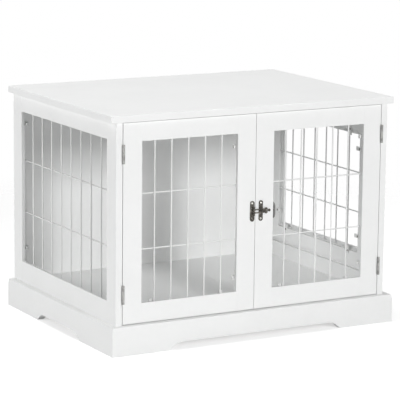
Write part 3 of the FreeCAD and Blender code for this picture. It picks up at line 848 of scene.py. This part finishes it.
class CRATE_OT_hinges(bpy.types.Operator):
    """Finishes the hinge leaves, turns their pins and adds the screws"""
    bl_idname = "crate.hinges"
    bl_label = "Hinges"

    def execute(self, context):
        hardware = context.scene.crate_hardware
        steel = hinge_finish(hardware)
        screws = screw_finish(hardware, "hinge_screw_steel", hardware.dark_screw)
        radius, share = hardware.leaf_screw_radius, hardware.recess_share
        standing = screw_head(
            radius, hardware.leaf_screw_height, hardware.leaf_screw_height * share)
        flush = screw_head(
            radius, hardware.flush_screw_height, hardware.flush_screw_height * share)
        for door in HUNG_DOORS:
            for part in ("post_leaves", "door_leaves"):
                node = NODES[door + "_" + part]
                dress(node, steel)
                soften(node, hardware.leaf_round)
            pins = bmesh.new()
            add_pins(pins, door + "_hinge_pins", hardware)
            finished_piece(
                "turned_" + door + "_hinge_pins", pins, steel, "cabinet",
                [door + "_hinge_pins"])
            inward = PANEL_INWARD[door]
            towards_door = self.towards_door(door, inward)
            self.wrap_screws(door, inward, towards_door, hardware, standing, screws)
            self.post_screws(door, inward, towards_door, hardware, flush, screws)
        return {"FINISHED"}

    def towards_door(self, door, inward):
        """The level direction from a door's hinges to its grille."""
        low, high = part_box(door + "_grille")
        pin_low, pin_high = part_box(door + "_hinge_pins")
        way = (Vector(low) + Vector(high)) / 2 - (Vector(pin_low) + Vector(pin_high)) / 2
        way.z = 0
        way -= inward * way.dot(inward)
        return way.normalized()

    def pin_middles(self, door):
        return [(low + high) / 2 for low, high in islands(door + "_hinge_pins")]

    def wrap_screws(self, door, inward, towards_door, hardware, head, steel):
        """Three screws through each leaf that wraps onto the door's inner face."""
        low, high = (Vector(corner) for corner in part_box(door + "_door_leaves"))
        face = max(low.dot(inward), high.dot(inward))
        near, far = hardware.leaf_near_screw, hardware.leaf_far_screw
        spread = hardware.leaf_screw_spread
        mesh = bmesh.new()
        for index, pin in enumerate(self.pin_middles(door)):
            for across, rise in ((near, -spread), (far, 0), (near, spread)):
                place = pin + towards_door * across + Vector((0, 0, rise))
                add_screw(mesh, head, on_plane(place, inward, face), inward, index + across / MM)
        finished_piece(door + "_leaf_screws", mesh, steel, door)

    def post_screws(self, door, inward, towards_door, hardware, head, steel):
        """Two flush screws through each leaf on the post, seen when the door is open."""
        spread = hardware.leaf_screw_spread
        mesh = bmesh.new()
        for index, pin in enumerate(self.pin_middles(door)):
            for rise in (-spread, spread):
                place = pin + inward * hardware.post_screw_depth + Vector((0, 0, rise))
                place -= towards_door * hardware.leaf_face
                add_screw(mesh, head, place, towards_door, index + rise / MM)
        finished_piece(door + "_post_screws", mesh, steel, "cabinet")


class CRATE_OT_latches(bpy.types.Operator):
    """Finishes the hasps and their catches, and adds the screws"""
    bl_idname = "crate.latches"
    bl_label = "Latches"

    def execute(self, context):
        hardware = context.scene.crate_hardware
        bronze = bronze_finish(hardware)
        bright = screw_finish(hardware, "bright_screw_steel", hardware.bright_screw)
        height = hardware.screw_height
        head = screw_head(hardware.screw_radius, height, height * hardware.recess_share)
        for latch, bodies in LATCH_BODIES.items():
            for part, rounding in (
                    ("hasp_plate", hardware.plate_round),
                    ("catch_plate", hardware.plate_round),
                    ("hasp_arm", hardware.arm_round)):
                node = NODES[latch + "_" + part]
                dress(node, bronze)
                soften(node, rounding, ROUNDING_STEPS)
            pins = bmesh.new()
            add_pins(pins, latch + "_hasp_pin", hardware)
            finished_piece(
                "turned_" + latch + "_hasp_pin", pins, bronze, bodies["hasp_plate"],
                [latch + "_hasp_pin"])
            for part, body in bodies.items():
                self.screws(latch, part, body, hardware, head, bright, bronze)
        return {"FINISHED"}

    def screws(self, latch, part, body, hardware, head, bright, bronze):
        """One screw at each end of a plate. The hasp's lower one is painted shade, made dark with the
        bronze in place of the plated steel.
        """
        outward = LATCH_OUTWARD[latch]
        node = latch + "_" + part
        low, high = max(islands(node), key=lambda box: box[1].z - box[0].z)
        face = min(low.dot(outward), high.dot(outward)) + hardware.plate_thickness
        middle = (low + high) / 2
        inset = hardware.plate_screw_inset
        for end, rise in (("lower", low.z + inset), ("upper", high.z - inset)):
            place = on_plane(Vector((middle.x, middle.y, rise)), outward, face)
            mesh = bmesh.new()
            add_screw(mesh, head, place, outward, rise / MM)
            # Painted shade: the hasp plate's lower screw is coloured with the dark bronze, not the
            # plated steel.
            steel = bronze if (part, end) == ("hasp_plate", "lower") else bright
            finished_piece(node + "_" + end + "_screw", mesh, steel, body)


class CRATE_OT_studio(bpy.types.Operator):
    """Sets the floor, the lamps and the camera"""
    bl_idname = "crate.studio"
    bl_label = "Studio"

    def execute(self, context):
        studio = context.scene.crate_studio
        self.floor(context, studio)
        self.lamps(context, studio)
        self.room(context, studio)
        self.camera(context, studio)
        context.scene.view_settings.view_transform = "Standard"
        return {"FINISHED"}

    def floor(self, context, studio):
        mesh = bmesh.new()
        bmesh.ops.create_circle(
            mesh, cap_ends=True, segments=96, radius=studio.floor_radius,
            matrix=Matrix.Translation((0, 0, CAD_BOX[0].z)))
        data = bpy.data.meshes.new("studio_floor")
        mesh.to_mesh(data)
        mesh.free()
        floor = bpy.data.objects.new("studio_floor", data)
        context.scene.collection.objects.link(floor)
        data.materials.append(floor_finish(studio))

    def lamps(self, context, studio):
        """Four soft lamps that all look at the middle of the crate."""
        middle = (CAD_BOX[0] + CAD_BOX[1]) / 2
        for side in ("front", "key", "side", "top"):
            lamp = bpy.data.lights.new(side + "_lamp", "AREA")
            lamp.shape = "SQUARE"
            lamp.size = getattr(studio, side + "_size")
            lamp.energy = getattr(studio, side + "_power")
            holder = bpy.data.objects.new(side + "_lamp", lamp)
            context.scene.collection.objects.link(holder)
            holder.location = getattr(studio, side + "_place")
            holder.rotation_mode = "QUATERNION"
            holder.rotation_quaternion = (middle - holder.location).to_track_quat("-Z", "Y")

    def room(self, context, studio):
        """Even light from all round, in front of a backdrop that shows as white."""
        context.scene.world = bpy.data.worlds.new("even_room")
        room = NodeMaker(context.scene.world, "ShaderNodeOutputWorld")
        even = room.add("ShaderNodeBackground", {}, {"Color": WHITE, "Strength": studio.ambient})
        backdrop = room.add("ShaderNodeBackground", {}, {"Color": WHITE, "Strength": 1.0})
        room.finish_with(room.add("ShaderNodeMixShader", {}, {
            0: room.shown_rays(), 1: even.outputs[0], 2: backdrop.outputs[0]}))

    def camera(self, context, studio):
        """The camera looks along its turn and dip, rolled about the line of sight."""
        lens = bpy.data.cameras.new("photo_camera")
        lens.lens = studio.lens
        lens.sensor_width = 36
        lens.clip_end = 100
        camera = bpy.data.objects.new("photo_camera", lens)
        context.scene.collection.objects.link(camera)
        turn, dip, roll = studio.camera_turn, studio.camera_dip, studio.camera_roll
        ahead = Vector((
            math.sin(turn) * math.cos(dip), math.cos(turn) * math.cos(dip), -math.sin(dip)))
        right = Vector((math.cos(turn), -math.sin(turn), 0))
        up = right.cross(ahead)
        rolled_right = right * math.cos(roll) + up * math.sin(roll)
        rolled_up = up * math.cos(roll) - right * math.sin(roll)
        pose = Matrix((rolled_right, rolled_up, -ahead)).transposed().to_4x4()
        camera.matrix_world = Matrix.Translation(studio.camera_place) @ pose
        context.scene.camera = camera


class CRATE_PT_panel(bpy.types.Panel):
    """Lists the steps that dress the crate"""
    bl_idname = "CRATE_PT_panel"
    bl_label = "Crate End Table"
    bl_space_type = "VIEW_3D"
    bl_region_type = "UI"
    bl_category = "Crate"

    def draw(self, context):
        layout = self.layout
        for operator in OPERATORS:
            layout.operator(operator.bl_idname)
        for name, group in SETTINGS.items():
            box = layout.box()
            box.label(text=group.__name__)
            for key in group.__annotations__:
                box.prop(getattr(context.scene, name), key)


OPERATORS = (
    CRATE_OT_studio,
    CRATE_OT_boards,
    CRATE_OT_grilles,
    CRATE_OT_clips,
    CRATE_OT_hinges,
    CRATE_OT_latches,
)
CLASSES = tuple(SETTINGS.values()) + OPERATORS + (CRATE_PT_panel,)


def register():
    for cls in CLASSES:
        bpy.utils.register_class(cls)
    for name, group in SETTINGS.items():
        setattr(bpy.types.Scene, name, bpy.props.PointerProperty(type=group))


def unregister():
    for name in SETTINGS:
        delattr(bpy.types.Scene, name)
    for cls in reversed(CLASSES):
        bpy.utils.unregister_class(cls)


def main():
    register()
    bpy.ops.crate.studio()
    bpy.ops.crate.boards()
    bpy.ops.crate.grilles()
    bpy.ops.crate.clips()
    bpy.ops.crate.hinges()
    bpy.ops.crate.latches()


if __name__ == "__main__":
    main()
